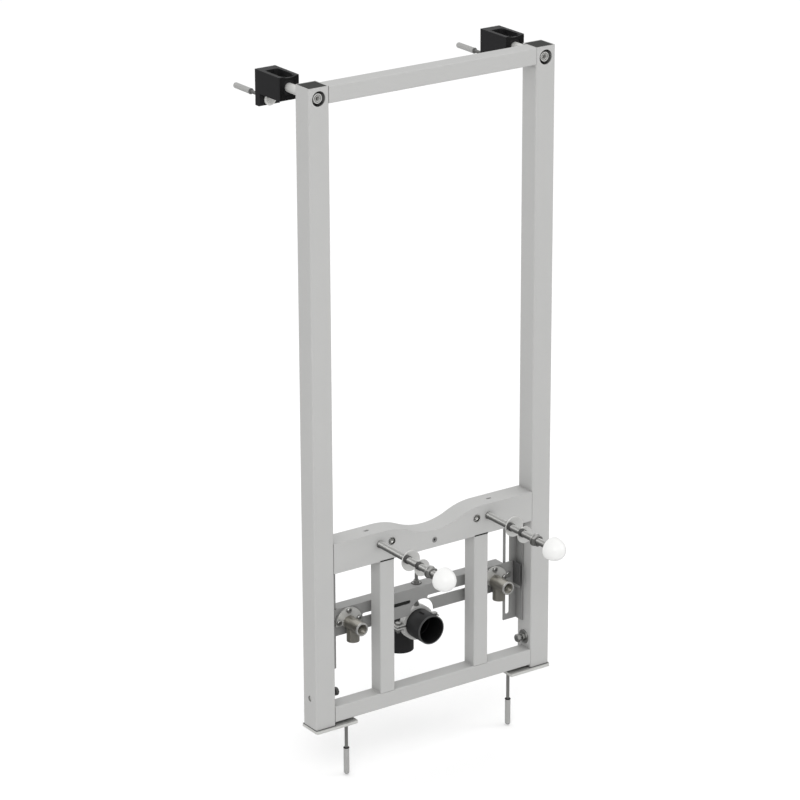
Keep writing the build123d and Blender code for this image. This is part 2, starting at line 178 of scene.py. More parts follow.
def settings():
    scene = bpy.context.scene
    return scene.bidet_finish, scene.bidet_fastening, scene.bidet_studio


def fastening(name):
    """A size of the fastenings, in millimetres."""
    return getattr(settings()[1], name) / MM


# Shared effects


def feed(tree, socket, value):
    """Link another socket to this one, or set it to a constant."""
    if isinstance(value, NodeSocket):
        tree.links.new(value, socket)
    else:
        socket.default_value = value


def add(tree, kind, *numbered, **values):
    """Make a node and give its outputs. Values go to its first inputs, its fields or its inputs
    by name."""
    node = tree.nodes.new(kind)
    for key, value in values.items():
        if hasattr(node, key):
            setattr(node, key, value)
        else:
            feed(tree, node.inputs[key.replace("_", " ")], value)
    for socket, value in zip(node.inputs, numbered):
        feed(tree, socket, value)
    return node.outputs


def clamped(tree, operation, first, second):
    """A calculation on two values, kept between 0 and 1."""
    node = add(tree, "ShaderNodeMath", first, second, operation=operation, use_clamp=True)
    return node["Value"]


def mixed(tree, share, first, second):
    """A colour between two others."""
    return add(tree, "ShaderNodeMix", data_type="RGBA", Factor=share, A=first, B=second)["Result"]


def mapped(tree, tone, low, high):
    """A tone from 0 to 1 stretched between two values."""
    return add(tree, "ShaderNodeMapRange", Value=tone, To_Min=low, To_Max=high)["Result"]


def own_place(tree):
    """Coordinates of the piece itself."""
    return add(tree, "ShaderNodeTexCoord")["Object"]


def noise(tree, place, scale, detail, roughness):
    values = {"Vector": place, "Scale": scale, "Detail": detail, "Roughness": roughness}
    return add(tree, "ShaderNodeTexNoise", **values)["Fac"]


def socket_kind(is_vector):
    return "NodeSocketVector" if is_vector else "NodeSocketFloat"


def new_group(name, **inputs):
    """An empty node group and what its inputs give."""
    group = bpy.data.node_groups.new(name, "ShaderNodeTree")
    for label, value in inputs.items():
        kind = socket_kind(isinstance(value, tuple))
        socket = group.interface.new_socket(
            name=label.replace("_", " "), in_out="INPUT", socket_type=kind
        )
        socket.default_value = value
    return group, group.nodes.new("NodeGroupInput").outputs


def put_out(group, **results):
    """Give a node group its outputs."""
    for label, source in results.items():
        kind = socket_kind(source.type == "VECTOR")
        group.interface.new_socket(name=label, in_out="OUTPUT", socket_type=kind)
    out = group.nodes.new("NodeGroupOutput")
    for label, source in results.items():
        group.links.new(source, out.inputs[label])
    return group


def mottle_group():
    """Slow and fast unevenness of a surface, as a tone from 0 to 1 and a height."""
    group, given = new_group("Mottle", Cloud_Scale=9.0, Grain_Scale=700.0, Grain_Share=0.4)
    place = own_place(group)
    cloud = noise(group, place, given["Cloud Scale"], detail=4.0, roughness=0.6)
    grain = noise(group, place, given["Grain Scale"], detail=3.0, roughness=0.55)
    share = given["Grain Share"]
    blend = add(group, "ShaderNodeMix", data_type="FLOAT", Factor=share, A=cloud, B=grain)
    return put_out(group, Tone=blend["Result"], Height=grain)


def edge_group():
    """Edges of a piece: a broken mask for wear, and a normal that rounds them off."""
    group, given = new_group("Edges", Radius=0.0006, Breakup_Scale=160.0, Strength=4.0)
    rounded = add(group, "ShaderNodeBevel", samples=6, Radius=given["Radius"])["Normal"]
    surface = add(group, "ShaderNodeNewGeometry")["Normal"]
    agree = add(group, "ShaderNodeVectorMath", rounded, surface, operation="DOT_PRODUCT")["Value"]
    differ = clamped(group, "SUBTRACT", 1.0, agree)
    whole = clamped(group, "MULTIPLY", differ, given["Strength"])
    breakup = noise(group, own_place(group), given["Breakup Scale"], detail=3.0, roughness=0.6)
    return put_out(group, Mask=clamped(group, "MULTIPLY", whole, breakup), Normal=rounded)


def painted_corner_shade_group():
    """Painted shade in inner corners and hollows, where little light reaches, as a mask."""
    group, given = new_group("Corners", Reach=0.006, Strength=0.6)
    reach = given["Reach"]
    open_air = add(group, "ShaderNodeAmbientOcclusion", samples=6, Distance=reach)["AO"]
    closed = clamped(group, "SUBTRACT", 1.0, open_air)
    return put_out(group, Mask=clamped(group, "MULTIPLY", closed, given["Strength"]))


def fine_line_group():
    """Fine parallel lines of drawn, turned or ground metal."""
    group, given = new_group("Fine lines", Stretch=(1.0, 1.0, 1.0), Scale=900.0)
    place = own_place(group)
    stretched = add(group, "ShaderNodeVectorMath", place, given["Stretch"], operation="MULTIPLY")
    tone = noise(group, stretched["Vector"], given["Scale"], detail=2.0, roughness=0.5)
    return put_out(group, Tone=tone)


def zone_group():
    """The part of a piece that lies beyond a plane, as a mask."""
    group, given = new_group("Zone", Direction=(0.0, 1.0, 0.0), Start=0.0, Softness=0.0003)
    place, direction = own_place(group), given["Direction"]
    along = add(group, "ShaderNodeVectorMath", place, direction, operation="DOT_PRODUCT")["Value"]
    beyond = add(group, "ShaderNodeMath", along, given["Start"], operation="SUBTRACT")["Value"]
    return put_out(group, Mask=clamped(group, "DIVIDE", beyond, given["Softness"]))


GROUP_MAKERS = {
    "Mottle": mottle_group,
    "Edges": edge_group,
    "Corners": painted_corner_shade_group,
    "Fine lines": fine_line_group,
    "Zone": zone_group,
}


def effect(tree, name, **values):
    """A shared effect placed in a material with that material's own values."""
    group = bpy.data.node_groups.get(name) or GROUP_MAKERS[name]()
    return add(tree, "ShaderNodeGroup", node_tree=group, **values)


# Materials

# How dark the painted shade in inner corners turns the base colour
PAINTED_SHADE_TONE = 0.3
TOWARDS_WALL = (0.0, 1.0, 0.0)
TOWARDS_ROOM = (0.0, -1.0, 0.0)
# Plane behind which the elbows' plates are painted lighter, partly a painted highlight
ELBOW_PLATE_FRONT = 15.5
WALL_SCREW_NECK = 130.0
# Plane in front of which the brackets' fronts are painted darker: painted shade
BRACKET_FRONT = 67.6

# base, worn and the third value of a zone name a colour of the settings and its tone. A zone gives
# the part beyond a plane, in millimetres along a direction, a colour and a metallic of its own. On
# the brackets' fronts this colour is painted shade, on the elbows' plates partly a painted
# highlight, on the wall screws a darker shank. corner_reach and corner_shade set the painted shade
# in inner corners.
FINISHES = {
    "painted_steel": dict(
        name="Grey powder coat", base=("paint", 1.0), worn=("paint_wear", 1.0), spread=0.035,
        roughness=(0.42, 0.58), cloud=7.0, grain=650.0, bump=0.00003, edge=0.0009,
        corner_reach=0.012, corner_shade=0.5, wear=3.0,
    ),
    "galvanised_steel": dict(
        name="Galvanised steel", base=("galvanised", 1.0), worn=("galvanised", 1.35), spread=0.09,
        roughness=(0.42, 0.6), metallic=0.35, cloud=38.0, grain=900.0,
        corner_reach=0.012, corner_shade=0.7,
    ),
    "satin_zinc": dict(
        name="Satin zinc", base=("satin_zinc", 1.0), worn=("satin_zinc", 1.2), spread=0.07,
        roughness=(0.45, 0.6), metallic=0.35, cloud=70.0, grain=1500.0, bump=0.00001,
        edge=0.0003, corner_reach=0.004,
    ),
    "rolled_zinc": dict(
        name="Rolled zinc", base=("rolled_zinc", 1.0), worn=("rolled_zinc", 1.5), spread=0.14,
        roughness=(0.26, 0.4), metallic=1.0, cloud=80.0, grain=1600.0, bump=0.00001,
        edge=0.0003, corner_reach=0.003, corner_shade=0.9,
    ),
    "zinc_steel": dict(
        name="Bright zinc", base=("zinc", 1.0), worn=("zinc", 1.25), spread=0.10,
        roughness=(0.24, 0.42), metallic=1.0, cloud=60.0, grain=1800.0, bump=0.00001,
        edge=0.0003, corner_reach=0.004, corner_shade=0.7,
    ),
    # Its long corner reach darkens the plates' tops by the uprights and the bottom bar: painted
    # shade.
    "foot_steel": dict(
        name="Plated foot steel", base=("zinc", 1.1), worn=("zinc", 1.3), spread=0.12,
        roughness=(0.42, 0.6), metallic=0.4, cloud=45.0, grain=1400.0, edge=0.0007,
        corner_reach=0.02, corner_shade=0.95, lines=((1.0, 1.0, 0.04), 1100.0),
    ),
    # Dark plating that is also painted shade on the rod rings, the stud's washer and the left leg
    # bolt.
    "dark_zinc_and_shade": dict(
        name="Black plated steel", base=("dark_zinc_and_shade", 1.0), worn=("dark_zinc_and_shade", 3.5), spread=0.2,
        roughness=(0.35, 0.5), metallic=0.6, cloud=90.0, grain=1500.0, edge=0.0003,
    ),
    "wall_screw_zinc": dict(
        name="Wall screw zinc", base=("satin_zinc", 1.25), worn=("satin_zinc", 1.4), spread=0.08,
        roughness=(0.4, 0.55), metallic=0.2, cloud=70.0, grain=1500.0, bump=0.00001, edge=0.0003,
        zone=(TOWARDS_WALL, WALL_SCREW_NECK, ("rolled_zinc", 0.45), 0.6),
    ),
    # The elbows' plates beyond ELBOW_PLATE_FRONT take the lighter machined colour with less metal:
    # partly their own machined face, partly a painted highlight.
    "nickel": dict(
        name="Nickel plated brass", base=("nickel", 1.0), worn=("nickel", 1.6), spread=0.13,
        roughness=(0.25, 0.4), metallic=0.9, cloud=55.0, grain=900.0, bump=0.00003, edge=0.0007,
        corner_reach=0.008, corner_shade=0.45,
        zone=(TOWARDS_WALL, ELBOW_PLATE_FRONT, ("machined", 1.0), 0.3),
    ),
    "machined_nickel": dict(
        name="Machined nickel", base=("machined", 1.0), worn=("machined", 1.3), spread=0.08,
        roughness=(0.26, 0.4), metallic=0.6, cloud=120.0, grain=1800.0, edge=0.0003,
    ),
    # The zone paints the brackets' fronts darker and the long corner reach darkens their pockets:
    # painted shade. The plates in their mouths are painted shade too.
    "black_plastic": dict(
        name="Black moulded plastic", base=("black", 1.0), worn=("black", 2.4), spread=0.18,
        roughness=(0.42, 0.58), cloud=25.0, grain=1100.0, bump=0.00004, edge=0.0008,
        corner_reach=0.035, corner_shade=1.0, specular=0.2,
        zone=(TOWARDS_ROOM, -BRACKET_FRONT, ("black", 0.2), 0.0),
    ),
    # Its long corner reach paints the socket's bore nearly black: painted shade.
    "drain_plastic": dict(
        name="Black drain plastic", base=("black", 1.0), worn=("black", 2.6), spread=0.15,
        roughness=(0.4, 0.52), cloud=30.0, grain=1200.0, bump=0.00003, edge=0.0009,
        corner_reach=0.06, corner_shade=1.0, specular=0.3,
    ),
    "insert_plastic_and_shade": dict(
        name="Dark grey insert", base=("insert", 1.0), worn=("insert", 1.8), spread=0.1,
        roughness=(0.45, 0.6), cloud=40.0, grain=1200.0, bump=0.00004, specular=0.12,
    ),
    "pad_plastic": dict(
        name="Grey pad plastic", base=("pad", 1.0), worn=("pad", 1.6), spread=0.1,
        roughness=(0.5, 0.65), cloud=60.0, grain=1400.0, bump=0.00003, edge=0.0004,
    ),
    "collar_plastic": dict(
        name="Grey collar plastic", base=("collar", 1.0), worn=("collar", 1.4), spread=0.1,
        roughness=(0.5, 0.65), cloud=60.0, grain=1400.0, bump=0.00003, edge=0.0004,
    ),
    "white_plastic": dict(
        name="White moulded plastic", base=("white", 1.0), worn=("white", 1.0), spread=0.02,
        roughness=(0.28, 0.4), coat=0.2, cloud=50.0, grain=1300.0, bump=0.00001,
        corner_shade=0.25,
    ),
    "nylon": dict(
        name="Grey nylon", base=("nylon", 1.0), worn=("nylon", 1.3), spread=0.07,
        roughness=(0.5, 0.66), cloud=70.0, grain=1500.0, bump=0.00003, edge=0.0004,
        lines=((0.05, 0.05, 1.0), 1400.0),
    ),
    "rubber": dict(
        name="Black rubber", base=("rubber", 1.0), worn=("rubber", 2.5), spread=0.2,
        roughness=(0.6, 0.78), cloud=60.0, grain=1600.0, bump=0.00003, edge=0.0005,
        specular=0.15,
    ),
}


def shade(rgb, factor):
    return (*(min(1.0, channel * factor) for channel in rgb), 1.0)


def toned(name, tone):
    """A colour of the settings, made darker or lighter."""
    return shade(getattr(settings()[0], name), tone)[:3]


def finish(
    name,
    base,
    worn,
    spread,
    roughness,
    cloud,
    grain,
    metallic=0.0,
    coat=0.0,
    specular=0.5,
    bump=0.00002,
    lines=None,
    edge=0.0006,
    wear=4.0,
    corner_reach=0.006,
    corner_shade=0.6,
    zone=None,
):
    """A material: a base colour with mottling, worn edges and painted shade in corners, and a fine
    bump.
    """
    material = bpy.data.materials.new(name)
    material.use_nodes = True
    tree = material.node_tree
    mottle = effect(tree, "Mottle", Cloud_Scale=cloud, Grain_Scale=grain)
    edges = effect(tree, "Edges", Radius=edge, Strength=wear)
    corners = effect(tree, "Corners", Reach=corner_reach, Strength=corner_shade)
    relief = mottle["Height"]
    if lines:
        stretch, scale = lines
        relief = effect(tree, "Fine lines", Stretch=stretch, Scale=scale)["Tone"]

    look = mixed(tree, mottle["Tone"], shade(base, 1 - spread), shade(base, 1 + spread))
    # A zone's colour is painted shade on the brackets' fronts and partly a painted highlight on the
    # elbows' plates.
    if zone:
        direction, start, other, other_metallic = zone
        mask = effect(tree, "Zone", Direction=direction, Start=start * MM)["Mask"]
        look = mixed(tree, mask, look, shade(other, 1.0))
        metallic = mapped(tree, mask, metallic, other_metallic)
    look = mixed(tree, edges["Mask"], look, shade(worn, 1.0))
    # Painted shade: inner corners and hollows turn darker
    look = mixed(tree, corners["Mask"], look, shade(base, PAINTED_SHADE_TONE))

    bumped = add(tree, "ShaderNodeBump", Distance=bump, Height=relief, Normal=edges["Normal"])
    shader = tree.nodes["Principled BSDF"]
    for label, value in {
        "Base Color": look,
        "Metallic": metallic,
        "Roughness": mapped(tree, mottle["Tone"], *roughness),
        "Coat Weight": coat,
        "Specular IOR Level": specular,
        "Normal": bumped["Normal"],
    }.items():
        feed(tree, shader.inputs[label], value)
    return material


def material_of(kind):
    """The material of a kind of surface, made once."""
    values = dict(FINISHES[kind])
    made = bpy.data.materials.get(values["name"])
    if made:
        return made
    values["base"] = toned(*values["base"])
    values["worn"] = toned(*values["worn"])
    if "zone" in values:
        direction, start, other, metallic = values["zone"]
        values["zone"] = direction, start, toned(*other), metallic
    return finish(**values)


def dress(kind, nodes):
    """Give CAD nodes their material."""
    for name in nodes:
        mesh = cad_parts[name].data
        mesh.materials.clear()
        mesh.materials.append(material_of(kind))


def both(*names):
    return [f"{side}_{name}" for name in names for side in SIDES]


# Shapes of the fastenings, in millimetres. An outline is a list of (radius, height) points.

ROUND_STEPS = 48
THREAD_CREST = (0.44, 0.56)
INNER_THREAD_END = 0.98
HEXAGON_CUTS = 24
HEXAGON_SLOPE = (0.5, 0.87)
COUNTERSINK = 0.5
HEAD_SEGMENTS = 24
BEAD_SEGMENTS = 10
BEAD_LEAST_STEPS = 4
BEAD_RIPPLE = 1.1
BEAD_END, BEAD_HOLLOW, BEAD_RIDGE = 0.55, 0.86, 1.0
HOLE_SEGMENTS = 32
FILLER_STEPS = 8


def picks(items, kind):
    return [item for item in items if isinstance(item, kind)]


def everything(shape):
    return shape.verts[:] + shape.edges[:] + shape.faces[:]


def close_holes(shape):
    bmesh.ops.holes_fill(shape, edges=[e for e in shape.edges if e.is_boundary])


def thicken(shape, height):
    """Pull the faces of a flat shape up, or down if the height is negative."""
    pulled = bmesh.ops.extrude_face_region(shape, geom=shape.faces[:])
    bmesh.ops.translate(shape, verts=picks(pulled["geom"], BMVert), vec=(0, 0, height * MM))


def ring_edges(shape, verts):
    """Edges of a ring of vertices."""
    ring = set(verts)
    return [e for e in shape.edges if ring.issuperset(e.verts)]


def join(bm, shape, place):
    """Set a finished shape in its place and add it to a piece."""
    bmesh.ops.remove_doubles(shape, verts=shape.verts, dist=CLOSE)
    bmesh.ops.recalc_face_normals(shape, faces=shape.faces)
    bmesh.ops.transform(shape, matrix=place, verts=shape.verts)
    mesh = bpy.data.meshes.new("shape")
    shape.to_mesh(mesh)
    shape.free()
    bm.from_mesh(mesh)
    bpy.data.meshes.remove(mesh)


def draw_outline(shape, outline, closed):
    """Vertices and edges of an outline."""
    verts = [shape.verts.new((radius * MM, 0, height * MM)) for radius, height in outline]
    pairs = list(zip(verts, verts[1:]))
    if closed:
        pairs.append((verts[-1], verts[0]))
    return verts + [shape.edges.new(pair) for pair in pairs]


def turn_shape(bm, outline, place):
    """Spin an outline once round its own axis. It is a ring unless it starts on the axis."""
    shape = bmesh.new()
    bmesh.ops.spin(
        shape,
        geom=draw_outline(shape, outline, closed=outline[0][0] > 0),
        cent=(0, 0, 0),
        axis=(0, 0, 1),
        angle=TURN,
        steps=ROUND_STEPS,
        use_merge=True,
    )
    join(bm, shape, place)


def carry_thread(bm, outline, pitch, run, place, steps, closed):
    """Carry a thread's outline round and along its axis, cut it flat at both ends and close it."""
    shape = bmesh.new()
    bmesh.ops.spin(
        shape,
        geom=draw_outline(shape, [(radius, height - pitch) for radius, height in outline], closed),
        cent=(0, 0, 0),
        dvec=(0, 0, pitch * MM / steps),
        axis=(0, 0, 1),
        angle=TURN,
        steps=steps,
    )
    turns = 1
    while turns * pitch < run + 2 * pitch:
        more = bmesh.ops.duplicate(shape, geom=everything(shape))
        copied = picks(more["geom"], BMVert)
        bmesh.ops.translate(shape, verts=copied, vec=(0, 0, turns * pitch * MM))
        turns *= 2
    bmesh.ops.remove_doubles(shape, verts=shape.verts, dist=CLOSE)
    for height, way in ((0, -1), (run, 1)):
        bmesh.ops.bisect_plane(
            shape,
            geom=everything(shape),
            dist=CLOSE,
            plane_co=(0, 0, height * MM),
            plane_no=(0, 0, way),
            clear_outer=True,
        )
    bmesh.ops.remove_doubles(shape, verts=shape.verts, dist=CLOSE)
    close_holes(shape)
    join(bm, shape, place)


def screw_thread(bm, crest, root, pitch, run, place, steps=20):
    """The thread of a screw or rod, solid inside."""
    rise, fall = THREAD_CREST
    outline = [(root, 0), (crest, pitch * rise), (crest, pitch * fall), (root, pitch)]
    carry_thread(bm, outline, pitch, run, place, steps, closed=False)


def inner_thread(bm, wall, crest, pitch, run, place, steps=36):
    """Thread ridges that stand inwards from the wall of a bore."""
    rise, fall = THREAD_CREST
    foot = (wall, pitch * INNER_THREAD_END)
    outline = [(wall, 0), (crest, pitch * rise), (crest, pitch * fall), foot]
    carry_thread(bm, outline, pitch, run, place, steps, closed=True)


def hexagon(bm, flats, height, place, chamfer=0.24, bore=0.0):
    """A hexagon head or nut with turned corners, and a countersunk hole if it has a bore."""
    shape = bmesh.new()
    bmesh.ops.create_circle(shape, cap_ends=True, segments=6, radius=flats / math.sqrt(3) * MM)
    thicken(shape, height)
    cone = flats / 2 - chamfer
    ends = ((height, 1), (0, -1)) if bore else ((height, 1),)
    for level, way in ends:
        for step in range(HEXAGON_CUTS):
            turned = TURN * (step + 0.5) / HEXAGON_CUTS
            out = Vector((math.cos(turned), math.sin(turned), 0))
            cut = bmesh.ops.bisect_plane(
                shape,
                geom=everything(shape),
                dist=CLOSE,
                plane_co=(out * cone + Vector((0, 0, level))) * MM,
                plane_no=out * HEXAGON_SLOPE[0] + Vector((0, 0, way * HEXAGON_SLOPE[1])),
                clear_outer=True,
            )
            bmesh.ops.holes_fill(shape, edges=picks(cut["geom_cut"], BMEdge))
    if bore:
        rims = []
        for level, way in ends:
            face = max(shape.faces, key=lambda f: f.normal.z * way if f.calc_area() else 0)
            flat = (cone - bore - COUNTERSINK) * MM
            sunk = COUNTERSINK * MM
            bmesh.ops.inset_region(shape, faces=[face], thickness=flat)
            bmesh.ops.inset_region(shape, faces=[face], thickness=sunk, depth=-sunk)
            rims += face.edges[:]
            shape.faces.remove(face)
        bmesh.ops.bridge_loops(shape, edges=rims)
    join(bm, shape, place)


def socket_head(bm, radius, height, flats, depth, place, edge=0.5):
    """A screw head with a hexagon socket: rings of one vertex count, bridged and closed."""
    shape = bmesh.new()
    bmesh.ops.create_circle(shape, segments=6, radius=flats / math.sqrt(3) * MM)
    bmesh.ops.subdivide_edges(shape, edges=shape.edges[:], cuts=HEAD_SEGMENTS // 6 - 1)
    socket = shape.edges[:]
    before = socket
    for ring_radius, level in ((radius - edge, 0), (radius, -edge), (radius, -height)):
        made = bmesh.ops.create_circle(
            shape,
            segments=HEAD_SEGMENTS,
            radius=ring_radius * MM,
            matrix=Matrix.Translation((0, 0, level * MM)),
        )
        ring = ring_edges(shape, made["verts"])
        bmesh.ops.bridge_loops(shape, edges=before + ring)
        before = ring
    sunk = bmesh.ops.extrude_edge_only(shape, edges=socket)
    bmesh.ops.translate(shape, verts=picks(sunk["geom"], BMVert), vec=(0, 0, -depth * MM))
    close_holes(shape)
    join(bm, shape, place)


def bead(bm, start, end, radius):
    """A weld bead: a small round section carried along a seam, a little thicker at every ripple."""
    start, end = Vector(start) * MM, Vector(end) * MM
    along = end - start
    steps = max(BEAD_LEAST_STEPS, int(along.length / (BEAD_RIPPLE * MM)))
    place = Matrix.Translation(start) @ along.to_track_quat("Z", "Y").to_matrix().to_4x4()
    shape = bmesh.new()
    width = BEAD_END
    bmesh.ops.create_circle(shape, segments=BEAD_SEGMENTS, radius=radius * width * MM)
    ring = shape.edges[:]
    for step in range(steps):
        made = bmesh.ops.extrude_edge_only(shape, edges=ring)
        verts = picks(made["geom"], BMVert)
        ring = ring_edges(shape, verts)
        bmesh.ops.translate(shape, verts=verts, vec=(0, 0, along.length / steps))
        wanted = BEAD_RIDGE if step % 2 else BEAD_HOLLOW
        if step == steps - 1:
            wanted = BEAD_END
        bmesh.ops.scale(shape, vec=(wanted / width, wanted / width, 1), verts=verts)
        width = wanted
    close_holes(shape)
    join(bm, shape, place)


def flat_plate(bm, size, place, edge):
    """A flat plate with softly rounded edges, centred on its place."""
    shape = bmesh.new()
    bmesh.ops.create_cube(shape, size=MM)
    bmesh.ops.scale(shape, vec=size, verts=shape.verts)
    bmesh.ops.bevel(
        shape,
        geom=shape.edges[:],
        offset=edge * MM,
        offset_type="OFFSET",
        segments=3,
        profile=0.5,
        affect="EDGES",
        material=-1,
    )
    join(bm, shape, place)


def square_ring(bm, half, width, height, place):
    """A flat square ring that stands up from its place."""
    shape = bmesh.new()
    bmesh.ops.create_grid(shape, x_segments=1, y_segments=1, size=half * MM)
    centre = shape.faces[:]
    bmesh.ops.inset_region(
        shape, faces=centre, thickness=width * MM, use_boundary=True, use_even_offset=True
    )
    bmesh.ops.delete(shape, geom=centre, context="FACES_ONLY")
    thicken(shape, height)
    join(bm, shape, place)


def holed_plate(bm, size, hole, thickness, place):
    """A rectangular plate with a round hole in its middle."""
    shape = bmesh.new()
    bmesh.ops.create_grid(shape, x_segments=1, y_segments=1, size=MM / 2)
    bmesh.ops.scale(shape, vec=(*size, 1), verts=shape.verts)
    bmesh.ops.delete(shape, geom=shape.faces[:], context="FACES_ONLY")
    bmesh.ops.subdivide_edges(shape, edges=shape.edges[:], cuts=HOLE_SEGMENTS // 4 - 1)
    rim = shape.edges[:]
    made = bmesh.ops.create_circle(shape, segments=HOLE_SEGMENTS, radius=hole * MM)
    bmesh.ops.bridge_loops(shape, edges=rim + ring_edges(shape, made["verts"]))
    thicken(shape, thickness)
    join(bm, shape, place)


def corner_filler(bm, radius, height, place, x_way, y_way):
    """The filler of a square corner that leaves it round, drawn down from its place."""
    shape = bmesh.new()
    first = shape.verts.new((0, y_way * radius * MM, 0))
    bmesh.ops.spin(
        shape,
        geom=[first],
        cent=(x_way * radius * MM, y_way * radius * MM, 0),
        axis=(0, 0, 1),
        angle=TURN / 4 * x_way * y_way,
        steps=FILLER_STEPS,
    )
    last = max(shape.verts, key=lambda v: v.co.x * x_way)
    corner = shape.verts.new((0, 0, 0))
    shape.edges.new((corner, first))
    shape.edges.new((corner, last))
    bmesh.ops.triangle_fill(shape, edges=shape.edges[:], use_beauty=True)
    thicken(shape, -height)
    join(bm, shape, place)


def at(x, y, z, turn=UPWARDS):
    return Matrix.Translation(Vector((x, y, z)) * MM) @ turn


def lifted(place, height):
    """A place moved along its own axis."""
    return place @ Matrix.Translation((0, 0, height * MM))


def box_of(node):
    """Low corner, high corner and middle of a CAD node's box."""
    low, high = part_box(node)
    return low / MM, high / MM, (low + high) / 2 / MM


def front_of(node):
    """The middle of the front of a CAD node's box, turned to the room."""
    low, _, centre = box_of(node)
    return at(centre.x, low.y, centre.z, FRONTWARDS)


def back_of(node):
    """The middle of the back of a CAD node's box, turned to the room."""
    _, high, centre = box_of(node)
    return at(centre.x, high.y, centre.z, FRONTWARDS)


def inner_face(side):
    """x of the face of an upright that looks to the other upright."""
    low, high, _ = box_of(f"{side}_upright")
    return high.x if side == "left" else low.x


def new_piece(name, bm, kind, body, stands_for=()):
    """Make a finished piece of a bmesh, give it its material and let it ride on its body."""
    bmesh.ops.remove_doubles(bm, verts=bm.verts, dist=CLOSE)
    bmesh.ops.recalc_face_normals(bm, faces=bm.faces)
    mesh = bpy.data.meshes.new(name)
    bm.to_mesh(mesh)
    bm.free()
    mesh.shade_smooth()
    mesh.set_sharp_from_angle(angle=SHARP_ANGLE)
    mesh.materials.append(material_of(kind))
    piece = bpy.data.objects.new(name, mesh)
    bpy.context.scene.collection.objects.link(piece)
    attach(piece, body)
    if stands_for:
        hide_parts(*stands_for)


def turned_piece(name, outline, place, kind, body):
    """A piece that is one turned ring."""
    bm = bmesh.new()
    turn_shape(bm, outline, place)
    new_piece(name, bm, kind, body)


# Sizes of the fastenings that the settings don't hold

M6 = {"crest": 3, "root": 2.5, "pitch": 1}
M8 = {"crest": 4, "root": 3.35, "pitch": 1.25}
M12 = {"wall": 5.99, "crest": 5.3, "pitch": 1.75}
HALF_INCH = {"wall": 9.29, "crest": 8.7}
ROD_FIT = 6.02

LEG_WASHERS = {"left": 9.3, "right": 12.8}
# The left bolt, on a face turned from the light, takes the black plating: painted shade.
LEG_FINISH_AND_SHADE = {"left": "dark_zinc_and_shade", "right": "rolled_zinc"}
LEG_HEAD_START = 11
LEG_THREAD_START = -2.4
WASHER_HEIGHT = 1.6
RAIL_WASHER_GAP = 0.3
RAIL_HEAD_HEIGHT = 2
RAIL_WASHER = [(4.2, 0), (10, 0), (10, 1.3), (9.7, WASHER_HEIGHT), (4.2, WASHER_HEIGHT)]
# A dark washer that stands for the nut's shadow: painted shadow
STUD_SHADOW_WASHER = [(7.55, 0.0), (9.3, 0.0), (9.3, 0.7), (8.9, 1.1), (7.55, 1.1)]

# Backs of the dark rings of painted shade on each rod
RING_BACKS = {"left": (-99.5, -134.5), "right": (-82.5, -116.5)}
RING_LENGTH = 8
NUT_START = 2.05
NUT_FLANGE = [(ROD_FIT, 0), (11.2, 0), (11.5, 0.4), (11.4, 1.2), (10.2, 2.2), (ROD_FIT, 2.2)]

BUSH_COUNTERSINK = 1

ELBOW_AXIS = 30.5
ELBOW_PLATE = 3.5
ELBOW_EARS = ((-21, 3), (21, 3), (0, 22))
ELBOW_SCREW_HEAD = 3.4
ELBOW_SCREW_SHANK = [(0, -3.4), (2.3, -3.4), (2.3, 0.05), (0, 0.05)]
ELBOW_OUTLET_THREAD = 16.6
ELBOW_INLET_THREAD = 13.2
ELBOW_INLET_BACK = 15.8
ELBOW_MOUTH = [
    (9.35, -0.4), (9.35, 0.1), (11.5, 0.1), (12.1, -0.4), (12.1, -2.6), (11.9, -2.9), (11.9, -0.4)
]

CLAMP_EAR_MIDDLE = 6.5
CLAMP_EAR_HALF = 4.0
CLAMP_BOLT_TAIL = 8
CLAMP_BOLT_RUN = 2 * CLAMP_EAR_HALF + 8.5

# Outlines of the drain's lip and seal, from the outside of the socket and from its bore
LIP = [
    (-2.2, -0.7), (-1.5, 0.1), (-0.7, 0.15), (0.1, -0.5), (0.1, -2.2), (-0.1, -2.5), (-2.2, -2.5)
]
SEAL = [
    (0, -4.5), (-0.7, -5.0), (-0.9, -5.8), (-0.5, -6.5), (-0.9, -7.2), (-0.7, -8.0), (0, -8.5)
]
SOCKET_WALL = 2.35
MARK_SIZE = (3.4, 14, 0.4)
MARK_BACK = 22.5
MARK_LIFT = 0.05
MARK_LEAN = Matrix.Rotation(math.radians(-11), 4, "Y")

ROD_HEAD = [
    (4.2, 0.0), (4.2, 1.7), (4.5, 2.0), (4.8, 2.0), (5.1, 1.7), (5.1, 0.05), (6.9, 0.05),
    (6.9, 1.7), (7.2, 2.0), (8.1, 2.0), (8.6, 1.5), (8.6, -3.5), (8.05, -4.0), (8.05, 0.0),
]
# The black plate in a bracket's mouth is painted shade where the rod runs into the dark pocket
MOUTH_SHADE_PLATE = {"size": (19.8, 25.8), "hole": 8.1, "thickness": 1.5}
MOUTH_BACK = 3.0
POCKET_HALF = 13.0
POCKET_DEPTHS = {1: 5.0, -1: 55.0}
POCKET_TOP = 18.6
POCKET_CORNER = {"radius": 8.0, "height": 11.5}

# The pads run from in front of the rail's tabs to its web: dark sheets of painted shade in the
# rail's ends. The strip's place is counted from the rail's middle, web and top; the strip is
# painted shade behind the rail's left slot.
PAD_THICKNESS, PAD_HEIGHT, PAD_INSET = 1.5, 41.5, 2.7
PAD_PROUD, PAD_GAP, PAD_DROP = 4.7, 0.3, 21
STRIP_SIZE = (52, 1.2, 13)
STRIP_PLACE = (-46, 2.6, -24)

COLLAR = [(3.15, -0.3), (5.05, -0.3), (5.3, 0.1), (5.3, 0.8), (5.0, 1.0), (3.15, 1.0)]
SCREW_HEAD_SINK = -0.1
